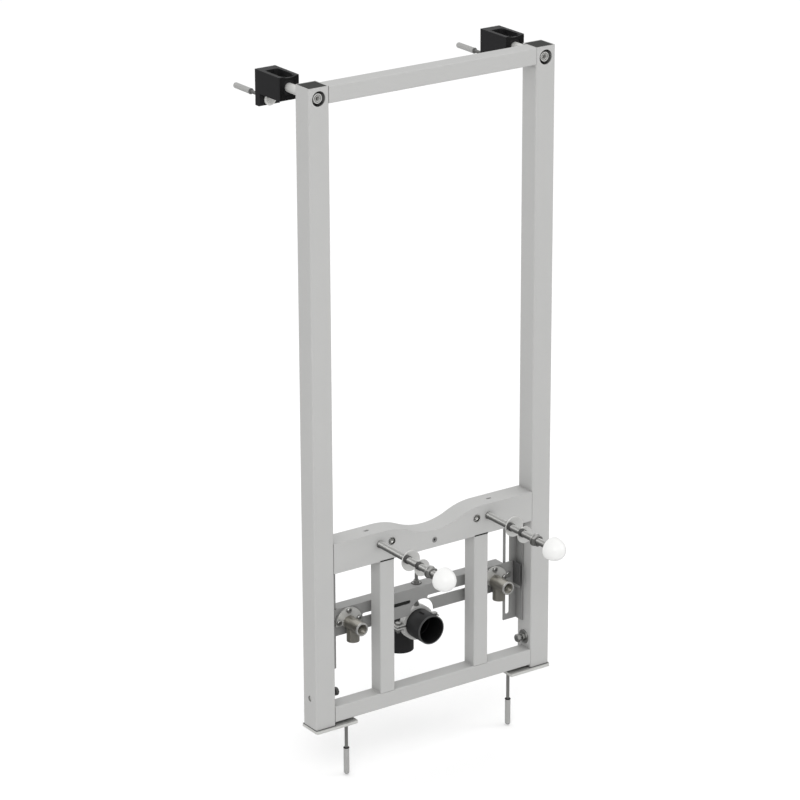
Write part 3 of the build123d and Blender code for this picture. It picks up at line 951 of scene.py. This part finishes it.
# A dark ring of painted shadow round the foot of an upright
FOOT_SHADOW_RING = {"width": 1.6, "height": 1.1}
FOOT_SHADOW_PROUD = 0.5
FOOT_SHADOW_LIFT = 0.1
# A dark strip of painted shadow at a post's top, under the beam
SEAM_SHADE_INSET, SEAM_SHADE_DEPTH, SEAM_SHADE_HEIGHT = 1.5, 0.5, 2.6
SEAM_SHADE_PROUD, SEAM_SHADE_LIFT = 0.05, 0.1
GROMMET = [
    (2.55, -1.5), (2.55, 0.3), (2.9, 0.6), (4.5, 0.6), (5.0, 0.25), (5.0, -0.1), (2.6, -1.5)
]
VENT_HEIGHT = 14

# How far the weld beads stay from the ends of their seams
BAR_FRONT, BAR_BACK, BAR_ENDS = 3, 1, 2
BEAM_ENDS = 3
POST_FRONT, POST_BACK = 4, 3


# Operators


class BIDET_OT_paint_frame(Operator):
    """Powder coat of the welded tubes, zinc of the side angles and the rail"""

    bl_idname = "bidet.paint_frame"
    bl_label = "Paint the welded frame"

    def execute(self, context):
        tubes = ["bottom_crossbar", "top_crossbar", "support_beam"]
        dress("painted_steel", both("upright", "post") + tubes)
        dress("galvanised_steel", both("side_angle") + ["services_rail"])
        dress("insert_plastic_and_shade", both("upright_insert"))
        return {"FINISHED"}


class BIDET_OT_finish_feet(Operator):
    """Plating of the feet and their floor anchors"""

    bl_idname = "bidet.finish_feet"
    bl_label = "Finish the feet and floor anchors"

    def execute(self, context):
        dress("foot_steel", both("foot"))
        dress("zinc_steel", both("floor_screw"))
        dress("nylon", both("floor_plug"))
        return {"FINISHED"}


class BIDET_OT_finish_wall_fixings(Operator):
    """Plastic blocks, steel rods and anchors of the wall fixings"""

    bl_idname = "bidet.finish_wall_fixings"
    bl_label = "Finish the wall fixings"

    def execute(self, context):
        dress("black_plastic", both("wall_bracket"))
        dress("satin_zinc", both("wall_rod"))
        dress("wall_screw_zinc", both("wall_screw"))
        dress("nylon", both("wall_plug"))
        return {"FINISHED"}


class BIDET_OT_finish_bidet_fixings(Operator):
    """Plating of the bushes and discs, and the white caps"""

    bl_idname = "bidet.finish_bidet_fixings"
    bl_label = "Finish the bidet fixings"

    def execute(self, context):
        dress("zinc_steel", both("narrow_bush", "wide_bush"))
        dress("satin_zinc", both("inner_disc", "outer_disc"))
        dress("white_plastic", both("rod_cap"))
        return {"FINISHED"}


class BIDET_OT_finish_services(Operator):
    """Nickel of the water elbows, plastic of the drain bend, zinc of its clamp and stud"""

    bl_idname = "bidet.finish_services"
    bl_label = "Finish the water and drain pieces"

    def execute(self, context):
        dress("nickel", both("water_elbow"))
        dress("drain_plastic", ["drain_bend"])
        dress("satin_zinc", ["drain_clamp"])
        dress("rolled_zinc", ["drain_stud"])
        return {"FINISHED"}


class BIDET_OT_make_leg_bolts(Operator):
    """Bolts through the uprights' inner faces that hold the legs"""

    bl_idname = "bidet.make_leg_bolts"
    bl_label = "Make the leg bolts"

    def execute(self, context):
        flats = fastening("leg_bolt_flats")
        for side, rim in LEG_WASHERS.items():
            turn = RIGHTWARDS if side == "left" else LEFTWARDS
            place = at(inner_face(side), 0, fastening("leg_bolt_height"), turn)
            washer = [(0, 0), (rim, 0), (rim, 1.2), (rim - 0.4, WASHER_HEIGHT), (0, WASHER_HEIGHT)]
            bm = bmesh.new()
            turn_shape(bm, washer, place)
            hexagon(bm, flats, height=5, place=lifted(place, WASHER_HEIGHT), bore=4)
            hexagon(bm, flats, height=6, place=lifted(place, LEG_HEAD_START))
            screw_thread(bm, **M8, run=13, place=lifted(place, LEG_THREAD_START))
            new_piece(f"{side}_leg_bolt", bm, LEG_FINISH_AND_SHADE[side], "frame")
        return {"FINISHED"}


class BIDET_OT_make_rail_bolts(Operator):
    """Bolts that hold the services rail on the slotted angles"""

    bl_idname = "bidet.make_rail_bolts"
    bl_label = "Make the rail bolts"

    def execute(self, context):
        z = fastening("rail_bolt_height")
        front = box_of("left_water_elbow")[1].y
        for side, way in INWARDS.items():
            x = inner_face(side) + way * fastening("rail_bolt_inset")
            washer = box_of(f"{side}_side_angle")[1].y + RAIL_WASHER_GAP
            head = at(x, front - RAIL_HEAD_HEIGHT, z, FRONTWARDS)
            nut = at(x, washer + WASHER_HEIGHT, z, BACKWARDS)
            bm = bmesh.new()
            socket_head(bm, 5, RAIL_HEAD_HEIGHT, flats=3.2, depth=1.4, place=head)
            turn_shape(bm, RAIL_WASHER, at(x, washer, z, BACKWARDS))
            hexagon(bm, flats=11, height=6.4, place=nut, bore=4)
            screw_thread(bm, **M8, run=17.6, place=at(x, front, z, BACKWARDS))
            new_piece(f"{side}_rail_bolt", bm, "zinc_steel", "services")
        return {"FINISHED"}


class BIDET_OT_make_rod_threads(Operator):
    """Threaded rods that carry the bidet"""

    bl_idname = "bidet.make_rod_threads"
    bl_label = "Make the threaded rods"

    def execute(self, context):
        depth, pitch = fastening("rod_thread_depth"), fastening("rod_pitch")
        for node in both("fixing_rod"):
            low, high, _ = box_of(node)
            crest, run = (high.x - low.x) / 2, high.y - low.y
            name = node.replace("fixing", "threaded")
            bm = bmesh.new()
            screw_thread(bm, crest, crest - depth, pitch, run, back_of(node), steps=28)
            new_piece(name, bm, "rolled_zinc", "frame", [node])
        return {"FINISHED"}


class BIDET_OT_make_rod_shade_rings(Operator):
    """Dark rings on the rods in front of the discs: painted shade where the rods pass through the
    discs' holes
    """

    bl_idname = "bidet.make_rod_rings"
    bl_label = "Make the rod rings"

    def execute(self, context):
        outer, end, bevel = fastening("ring_radius"), RING_LENGTH, 0.3
        outline = [
            (ROD_FIT, 0), (outer - bevel, 0), (outer, bevel),
            (outer, end - bevel), (outer - bevel, end), (ROD_FIT, end),
        ]
        for side, backs in RING_BACKS.items():
            centre = box_of(f"{side}_fixing_rod")[2]
            bm = bmesh.new()
            for back in backs:
                turn_shape(bm, outline, at(centre.x, back, centre.z, FRONTWARDS))
            new_piece(f"{side}_rod_rings", bm, "dark_zinc_and_shade", "frame")
        return {"FINISHED"}


class BIDET_OT_make_fixing_nuts(Operator):
    """Flanged hexagon nuts on the rods"""

    bl_idname = "bidet.make_fixing_nuts"
    bl_label = "Make the fixing nuts"

    def execute(self, context):
        for node in both("fixing_nut"):
            back = back_of(node)
            name = node.replace("fixing", "flange")
            bm = bmesh.new()
            turn_shape(bm, NUT_FLANGE, back)
            nut = lifted(back, NUT_START)
            hexagon(bm, flats=19, height=7.9, place=nut, chamfer=0.48, bore=ROD_FIT)
            new_piece(name, bm, "rolled_zinc", "frame", [node])
        return {"FINISHED"}


class BIDET_OT_make_elbow_details(Operator):
    """Screws in the plates of the water elbows, their turned mouths and inner threads"""

    bl_idname = "bidet.make_elbow_details"
    bl_label = "Make the elbows' screws and threads"

    def execute(self, context):
        radius = fastening("ear_screw_radius")
        thread = {**HALF_INCH, "pitch": fastening("water_pitch")}
        for side in SIDES:
            low, high, centre = box_of(f"{side}_water_elbow")
            x, z = centre.x, low.z + ELBOW_AXIS
            bm = bmesh.new()
            for ear_x, ear_z in ELBOW_EARS:
                place = at(x + ear_x, high.y - ELBOW_PLATE, z + ear_z, FRONTWARDS)
                head = lifted(place, ELBOW_SCREW_HEAD)
                turn_shape(bm, ELBOW_SCREW_SHANK, place)
                socket_head(bm, radius, ELBOW_SCREW_HEAD, 3.2, 1.6, head, edge=1.1)
            new_piece(f"{side}_elbow_screws", bm, "rolled_zinc", "services")
            bm = bmesh.new()
            outlet = at(x, low.y + ELBOW_OUTLET_THREAD, z, FRONTWARDS)
            inlet = at(x, high.y - ELBOW_INLET_BACK, low.z + ELBOW_INLET_THREAD, DOWNWARDS)
            inner_thread(bm, **thread, run=15, place=outlet)
            inner_thread(bm, **thread, run=12, place=inlet)
            new_piece(f"{side}_elbow_threads", bm, "nickel", "services")
            name, mouth = f"{side}_elbow_mouth", at(x, low.y, z, FRONTWARDS)
            turned_piece(name, ELBOW_MOUTH, mouth, "machined_nickel", "services")
        return {"FINISHED"}


class BIDET_OT_make_bush_threads(Operator):
    """Threads in the open bushes of the beam"""

    bl_idname = "bidet.make_bush_threads"
    bl_label = "Make the bush threads"

    def execute(self, context):
        for side in SIDES:
            start = lifted(back_of(f"{side}_narrow_bush"), BUSH_COUNTERSINK)
            bm = bmesh.new()
            inner_thread(bm, **M12, run=33, place=start, steps=24)
            new_piece(f"{side}_bush_thread", bm, "zinc_steel", "frame")
        return {"FINISHED"}


class BIDET_OT_make_clamp_bolts(Operator):
    """Bolts that close the drain clamp"""

    bl_idname = "bidet.make_clamp_bolts"
    bl_label = "Make the clamp bolts"

    def execute(self, context):
        flats = fastening("clamp_bolt_flats")
        low, high, centre = box_of("drain_clamp")
        top, under = centre.z + CLAMP_EAR_HALF, centre.z - CLAMP_EAR_HALF
        bm = bmesh.new()
        for x in (low.x + CLAMP_EAR_MIDDLE, high.x - CLAMP_EAR_MIDDLE):
            hexagon(bm, flats, height=4, place=at(x, centre.y, top))
            hexagon(bm, flats, height=5, place=at(x, centre.y, under, DOWNWARDS), bore=3)
            tail = at(x, centre.y, under - CLAMP_BOLT_TAIL)
            screw_thread(bm, **M6, run=CLAMP_BOLT_RUN, place=tail)
        new_piece("clamp_bolts", bm, "rolled_zinc", "services")
        return {"FINISHED"}


class BIDET_OT_make_drain_rim(Operator):
    """Rounded lip and rubber seal of the drain socket, and the mark on its top"""

    bl_idname = "bidet.make_drain_rim"
    bl_label = "Make the drain's rim, seal and mark"

    def execute(self, context):
        low, high, centre = box_of("drain_bend")
        radius = (high.x - low.x) / 2
        front = at(centre.x, low.y, high.z - radius, FRONTWARDS)
        for name, outline, start, kind in (
            ("drain_lip", LIP, radius, "pad_plastic"),
            ("drain_seal", SEAL, radius - SOCKET_WALL, "rubber"),
        ):
            points = [(start + out, height) for out, height in outline]
            turned_piece(name, points, front, kind, "services")
        socket = at(centre.x, low.y + MARK_BACK, high.z - radius)
        bm = bmesh.new()
        flat_plate(bm, MARK_SIZE, lifted(socket @ MARK_LEAN, radius + MARK_LIFT), edge=0.15)
        new_piece("drain_mark", bm, "rubber", "services")
        return {"FINISHED"}


class BIDET_OT_make_rod_heads(Operator):
    """Turned heads of the wall rods, seen in the holes of the uprights"""

    bl_idname = "bidet.make_rod_heads"
    bl_label = "Make the wall rods' heads"

    def execute(self, context):
        for side in SIDES:
            front, body = front_of(f"{side}_wall_rod"), f"{side}_wall_fixing"
            turned_piece(f"{side}_rod_head", ROD_HEAD, front, "satin_zinc", body)
        return {"FINISHED"}


class BIDET_OT_make_bracket_mouths(Operator):
    """Black plates in the mouths of the wall brackets, painted shade where the rods run into the
    pockets, and the round corners of the pockets
    """

    bl_idname = "bidet.make_bracket_mouths"
    bl_label = "Make the brackets' mouths"

    def execute(self, context):
        for side in SIDES:
            centre = box_of(f"{side}_wall_rod")[2]
            front = box_of(f"{side}_wall_bracket")[0].y
            plate = at(centre.x, front + MOUTH_BACK, centre.z, FRONTWARDS)
            bm = bmesh.new()
            holed_plate(bm, **MOUTH_SHADE_PLATE, place=plate)
            for way in (1, -1):
                for end, depth in POCKET_DEPTHS.items():
                    x, y = centre.x + way * POCKET_HALF, front + depth
                    corner = at(x, y, centre.z + POCKET_TOP)
                    corner_filler(bm, **POCKET_CORNER, place=corner, x_way=-way, y_way=end)
            body = f"{side}_wall_fixing"
            new_piece(f"{side}_bracket_mouth", bm, "black_plastic", body)
        return {"FINISHED"}


class BIDET_OT_make_screw_heads(Operator):
    """Hexagon heads on the flanges of the wall screws"""

    bl_idname = "bidet.make_screw_heads"
    bl_label = "Make the wall screws' heads"

    def execute(self, context):
        for side in SIDES:
            flange = lifted(front_of(f"{side}_wall_screw"), SCREW_HEAD_SINK)
            bm = bmesh.new()
            hexagon(bm, flats=12, height=4.1, place=flange, chamfer=0.36)
            body = f"{side}_wall_fixing"
            new_piece(f"{side}_screw_head", bm, "satin_zinc", body)
        return {"FINISHED"}


class BIDET_OT_make_plug_collars(Operator):
    """Collars of the floor and wall plugs"""

    bl_idname = "bidet.make_plug_collars"
    bl_label = "Make the plug collars"

    def execute(self, context):
        for side in SIDES:
            _, high, centre = box_of(f"{side}_floor_plug")
            top = at(centre.x, centre.y, high.z)
            turned_piece(f"{side}_floor_collar", COLLAR, top, "rubber", "feet")
            name, body = f"{side}_wall_collar", f"{side}_wall_fixing"
            front = front_of(f"{side}_wall_plug")
            turned_piece(name, COLLAR, front, "collar_plastic", body)
        return {"FINISHED"}


class BIDET_OT_make_foot_shadow_rings(Operator):
    """Dark rings round the feet of the uprights: painted shadow where the uprights meet the foot
    plates
    """

    bl_idname = "bidet.make_guide_rings"
    bl_label = "Make the guide rings"

    def execute(self, context):
        for side in SIDES:
            low, high, centre = box_of(f"{side}_upright")
            half = (high.x - low.x) / 2 + FOOT_SHADOW_PROUD
            foot = at(centre.x, centre.y, low.z + FOOT_SHADOW_LIFT)
            bm = bmesh.new()
            square_ring(bm, half, **FOOT_SHADOW_RING, place=foot)
            new_piece(f"{side}_guide_ring", bm, "pad_plastic", "frame")
        return {"FINISHED"}


class BIDET_OT_make_rail_pads(Operator):
    """Dark pads on the rail's end tabs and a dark strip behind its left slot, both painted shade"""

    bl_idname = "bidet.make_rail_pads"
    bl_label = "Make the rail's pads and strip"

    def execute(self, context):
        low, high, centre = box_of("services_rail")
        web = box_of("left_water_elbow")[1].y
        bm = bmesh.new()
        for tab, way in ((low.x, 1), (high.x, -1)):
            front, back = low.y - PAD_PROUD, web - PAD_GAP
            pad = at(tab + way * PAD_INSET, (front + back) / 2, high.z - PAD_DROP)
            flat_plate(bm, (PAD_THICKNESS, back - front, PAD_HEIGHT), pad, edge=0.5)
        new_piece("rail_pads", bm, "pad_plastic", "services")
        bm = bmesh.new()
        x, y, z = STRIP_PLACE
        flat_plate(bm, STRIP_SIZE, at(centre.x + x, web + y, high.z + z), edge=0.4)
        new_piece("slot_strip", bm, "insert_plastic_and_shade", "services")
        return {"FINISHED"}


class BIDET_OT_make_post_seams(Operator):
    """Dark strips at the posts' tops under the beam: painted shadow of the groove where they meet
    """

    bl_idname = "bidet.make_post_seams"
    bl_label = "Make the post seams"

    def execute(self, context):
        bm = bmesh.new()
        for side in SIDES:
            low, high, centre = box_of(f"{side}_post")
            seam = at(centre.x, low.y - SEAM_SHADE_PROUD, high.z + SEAM_SHADE_LIFT)
            size = (high.x - low.x - SEAM_SHADE_INSET, SEAM_SHADE_DEPTH, SEAM_SHADE_HEIGHT)
            flat_plate(bm, size, seam, edge=0.2)
        new_piece("post_seams", bm, "insert_plastic_and_shade", "frame")
        return {"FINISHED"}


class BIDET_OT_make_vent_grommet(Operator):
    """Grommet in the vent hole of the beam"""

    bl_idname = "bidet.make_vent_grommet"
    bl_label = "Make the vent's grommet"

    def execute(self, context):
        low, _, centre = box_of("support_beam")
        vent = at(centre.x, low.y, low.z + VENT_HEIGHT, FRONTWARDS)
        turned_piece("vent_grommet", GROMMET, vent, "collar_plastic", "frame")
        return {"FINISHED"}


class BIDET_OT_make_stud_shadow_washer(Operator):
    """Wide dark washer under the nut of the drain clamp's stud: painted shadow of the nut"""

    bl_idname = "bidet.make_stud_washer"
    bl_label = "Make the stud's washer"

    def execute(self, context):
        stud = box_of("drain_stud")[2]
        place = at(stud.x, stud.y, box_of("services_rail")[1].z)
        turned_piece("stud_washer", STUD_SHADOW_WASHER, place, "dark_zinc_and_shade", "services")
        return {"FINISHED"}


class BIDET_OT_make_welds(Operator):
    """Weld beads where the tubes of the frame meet"""

    bl_idname = "bidet.make_welds"
    bl_label = "Make the weld beads"

    def execute(self, context):
        bm = bmesh.new()
        for side in SIDES:
            for start, end in self.seams(side):
                bead(bm, start, end, fastening("weld_radius"))
        new_piece("frame_welds", bm, "painted_steel", "frame")
        return {"FINISHED"}

    def seams(self, side):
        """Start and end of every seam on one side of the frame."""
        x = inner_face(side)
        for bar in ("bottom_crossbar", "top_crossbar"):
            low, high, _ = box_of(bar)
            yield (x, low.y + BAR_FRONT, low.z), (x, high.y - BAR_BACK, low.z)
            yield (x, high.y, low.z + BAR_ENDS), (x, high.y, high.z - BAR_ENDS)
        low, high, _ = box_of("support_beam")
        yield (x, low.y + BEAM_ENDS, low.z), (x, high.y - BEAM_ENDS, low.z)
        yield (x, high.y, low.z + BEAM_ENDS), (x, high.y, high.z - BEAM_ENDS)
        low, high, _ = box_of(f"{side}_post")
        for x in (low.x, high.x):
            for z in (low.z, high.z):
                yield (x, low.y + POST_FRONT, z), (x, high.y - POST_BACK, z)
        for z in (low.z, high.z):
            yield (low.x + POST_BACK, high.y, z), (high.x - POST_BACK, high.y, z)


SKY_RAMP = {"From_Min": -0.35, "From_Max": 0.75, "To_Min": 0.22, "To_Max": 1.25}
WHITE = (1, 1, 1, 1)
KEY_PLACE = Vector((-2.4, -2.9, 3.0))
SIDE_PLACE = Vector((3.4, -1.6, 2.0))


class BIDET_OT_set_stage(Operator):
    """Floor, light and camera"""

    bl_idname = "bidet.set_stage"
    bl_label = "Set the stage"

    def execute(self, context):
        studio = settings()[2]
        self.make_floor(studio)
        self.make_sky(studio)
        self.make_lamp("key_light", KEY_PLACE, size=2.4, watts=studio.key)
        self.make_lamp("side_light", SIDE_PLACE, size=2.0, watts=studio.rim)
        self.make_camera(studio)
        context.scene.view_settings.view_transform = "Standard"
        return {"FINISHED"}

    def make_floor(self, studio):
        bm = bmesh.new()
        bmesh.ops.create_grid(bm, x_segments=4, y_segments=4, size=studio.floor_half)
        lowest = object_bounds()[0].z
        bmesh.ops.translate(bm, verts=bm.verts, vec=(0, 0, lowest - studio.floor_gap))
        mesh = bpy.data.meshes.new("studio_floor")
        bm.to_mesh(mesh)
        bm.free()
        mesh.materials.append(
            finish(
                "Pale studio floor",
                base=studio.floor_colour,
                worn=studio.floor_colour,
                spread=0.01,
                roughness=(0.8, 0.95),
                cloud=2.0,
                grain=60.0,
                bump=0.0,
                wear=0.0,
                corner_shade=0.0,
            )
        )
        floor = bpy.data.objects.new("studio_floor", mesh)
        bpy.context.scene.collection.objects.link(floor)
        floor.visible_glossy = False
        floor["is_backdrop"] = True

    def make_sky(self, studio):
        """Light that is stronger from above, and plain white behind the frame."""
        world = bpy.data.worlds.new("Studio")
        world.use_nodes = True
        bpy.context.scene.world = world
        tree = world.node_tree
        tree.nodes.clear()
        place = add(tree, "ShaderNodeTexCoord")["Generated"]
        height = add(tree, "ShaderNodeSeparateXYZ", Vector=place)["Z"]
        ramp = add(tree, "ShaderNodeMapRange", Value=height, **SKY_RAMP)["Result"]
        power = add(tree, "ShaderNodeMath", ramp, studio.sky, operation="MULTIPLY")["Value"]
        light = add(tree, "ShaderNodeBackground", Color=WHITE, Strength=power)["Background"]
        seen = add(tree, "ShaderNodeBackground", Color=WHITE)["Background"]
        ray = add(tree, "ShaderNodeLightPath")["Is Camera Ray"]
        either = add(tree, "ShaderNodeMixShader", ray, light, seen)["Shader"]
        add(tree, "ShaderNodeOutputWorld", Surface=either)

    def make_lamp(self, name, spot, size, watts):
        lamp = bpy.data.lights.new(name, "AREA")
        lamp.shape = "DISK"
        lamp.size = size
        lamp.energy = watts
        holder = bpy.data.objects.new(name, lamp)
        holder.location = spot
        holder.rotation_mode = "QUATERNION"
        low, high = CAD_BOX
        holder.rotation_quaternion = ((low + high) / 2 - spot).to_track_quat("-Z", "Y")
        bpy.context.scene.collection.objects.link(holder)

    def make_camera(self, studio):
        turn = (
            Matrix.Rotation(-studio.camera_yaw, 4, "Z")
            @ Matrix.Rotation(TURN / 4 + studio.camera_pitch, 4, "X")
            @ Matrix.Rotation(studio.camera_roll, 4, "Z")
        )
        camera = bpy.data.cameras.new("photo_camera")
        camera.sensor_width = 36
        camera.lens = studio.lens
        camera.clip_start, camera.clip_end = 0.1, 200
        holder = bpy.data.objects.new("photo_camera", camera)
        holder.matrix_world = Matrix.Translation(studio.camera_place) @ turn
        bpy.context.scene.collection.objects.link(holder)
        bpy.context.scene.camera = holder


OPERATORS = (
    BIDET_OT_paint_frame,
    BIDET_OT_finish_feet,
    BIDET_OT_finish_wall_fixings,
    BIDET_OT_finish_bidet_fixings,
    BIDET_OT_finish_services,
    BIDET_OT_make_leg_bolts,
    BIDET_OT_make_rail_bolts,
    BIDET_OT_make_rod_threads,
    BIDET_OT_make_rod_shade_rings,
    BIDET_OT_make_fixing_nuts,
    BIDET_OT_make_elbow_details,
    BIDET_OT_make_bush_threads,
    BIDET_OT_make_clamp_bolts,
    BIDET_OT_make_drain_rim,
    BIDET_OT_make_rod_heads,
    BIDET_OT_make_bracket_mouths,
    BIDET_OT_make_screw_heads,
    BIDET_OT_make_plug_collars,
    BIDET_OT_make_foot_shadow_rings,
    BIDET_OT_make_rail_pads,
    BIDET_OT_make_post_seams,
    BIDET_OT_make_vent_grommet,
    BIDET_OT_make_stud_shadow_washer,
    BIDET_OT_make_welds,
    BIDET_OT_set_stage,
)


class BIDET_PT_panel(Panel):
    """Sidebar panel with the frame's settings and operators"""

    bl_idname = "BIDET_PT_panel"
    bl_label = "Bidet frame"
    bl_space_type = "VIEW_3D"
    bl_region_type = "UI"
    bl_category = "Bidet Frame"

    def draw(self, context):
        layout = self.layout
        for group in settings():
            box = layout.box()
            for name in group.__annotations__:
                box.prop(group, name)
        for operator in OPERATORS:
            layout.operator(operator.bl_idname)


SETTINGS = {
    "bidet_finish": FinishSettings,
    "bidet_fastening": FasteningSettings,
    "bidet_studio": StudioSettings,
}


def register():
    for name, group in SETTINGS.items():
        bpy.utils.register_class(group)
        setattr(bpy.types.Scene, name, PointerProperty(type=group))
    for cls in (*OPERATORS, BIDET_PT_panel):
        bpy.utils.register_class(cls)


def unregister():
    for cls in (BIDET_PT_panel, *reversed(OPERATORS)):
        bpy.utils.unregister_class(cls)
    for name, group in SETTINGS.items():
        delattr(bpy.types.Scene, name)
        bpy.utils.unregister_class(group)


def main():
    register()
    for operator in OPERATORS:
        family, action = operator.bl_idname.split(".")
        getattr(getattr(bpy.ops, family), action)()


if __name__ == "__main__":
    main()
